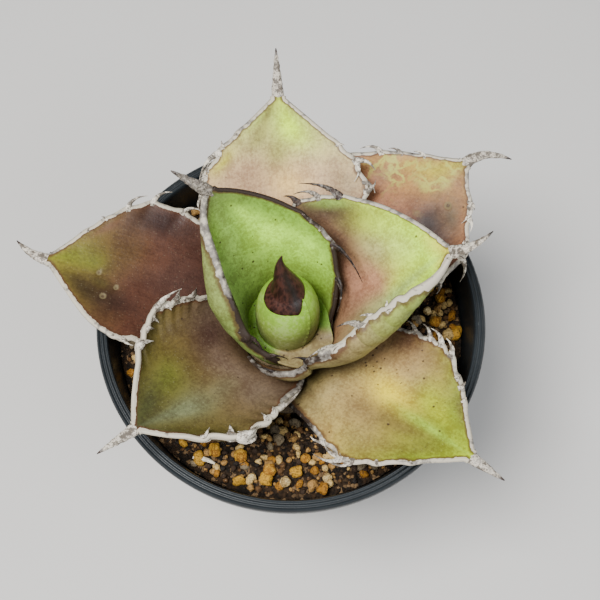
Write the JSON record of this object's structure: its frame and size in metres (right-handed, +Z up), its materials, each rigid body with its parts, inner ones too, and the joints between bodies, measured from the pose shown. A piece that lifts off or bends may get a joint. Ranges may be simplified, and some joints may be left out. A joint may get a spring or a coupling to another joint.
{
  "type": "potted agave",
  "caption": "Small potted agave: a rosette of broad cupped leaves with pale horny margins, hooked teeth and long end spines round a closed bud, in a tapered round nursery pot of gritty mix.",
  "frame": {"origin": "centre of the pot's flat underside, where it rests on the table", "axes": "+Z up along the pot's axis; -Y is the side that faces the viewer, +X is the viewer's right"},
  "size_m": [0.1512, 0.1398, 0.156],
  "materials": {
    "pot_plastic": "dark blue-black moulded plastic, satin, lightly scuffed rim",
    "potting_mix": "damp dark gritty mix",
    "stem": "fibrous, matt",
    "bud": "smooth waxy green with a dark maroon spine",
    "leaf_young": "waxy bright green, dark horny margin",
    "leaf": "waxy, mottled green to dusky purple, pale horny margin",
    "akadama": "orange-brown baked clay grain, matt",
    "pumice": "pale tan grain, matt",
    "dry_root": "dry, papery"
  },
  "bodies": {
    "root": {"nursery_pot": "pot_plastic", "potting_mix": "potting_mix", "stem_and_roots": "stem", "bud": "bud", "leaf_1_inner": "leaf_young", "leaf_2_right": "leaf", "leaf_3_front_left": "leaf", "leaf_4_back": "leaf", "leaf_5_front_right": "leaf", "leaf_6_left": "leaf", "leaf_7_back_right": "leaf", "akadama_grain_01": "akadama", "akadama_grain_02": "akadama", "akadama_grain_03": "akadama", "akadama_grain_04": "akadama", "akadama_grain_05": "akadama", "akadama_grain_06": "akadama", "akadama_grain_07": "akadama", "akadama_grain_08": "akadama", "akadama_grain_09": "akadama", "akadama_grain_10": "akadama", "akadama_grain_11": "akadama", "akadama_grain_12": "akadama", "pumice_grain_01": "pumice", "pumice_grain_02": "pumice", "pumice_grain_03": "pumice", "pumice_grain_04": "pumice", "pumice_grain_05": "pumice", "pumice_grain_06": "pumice", "dry_root_bit": "dry_root"}
  },
  "joints": []
}
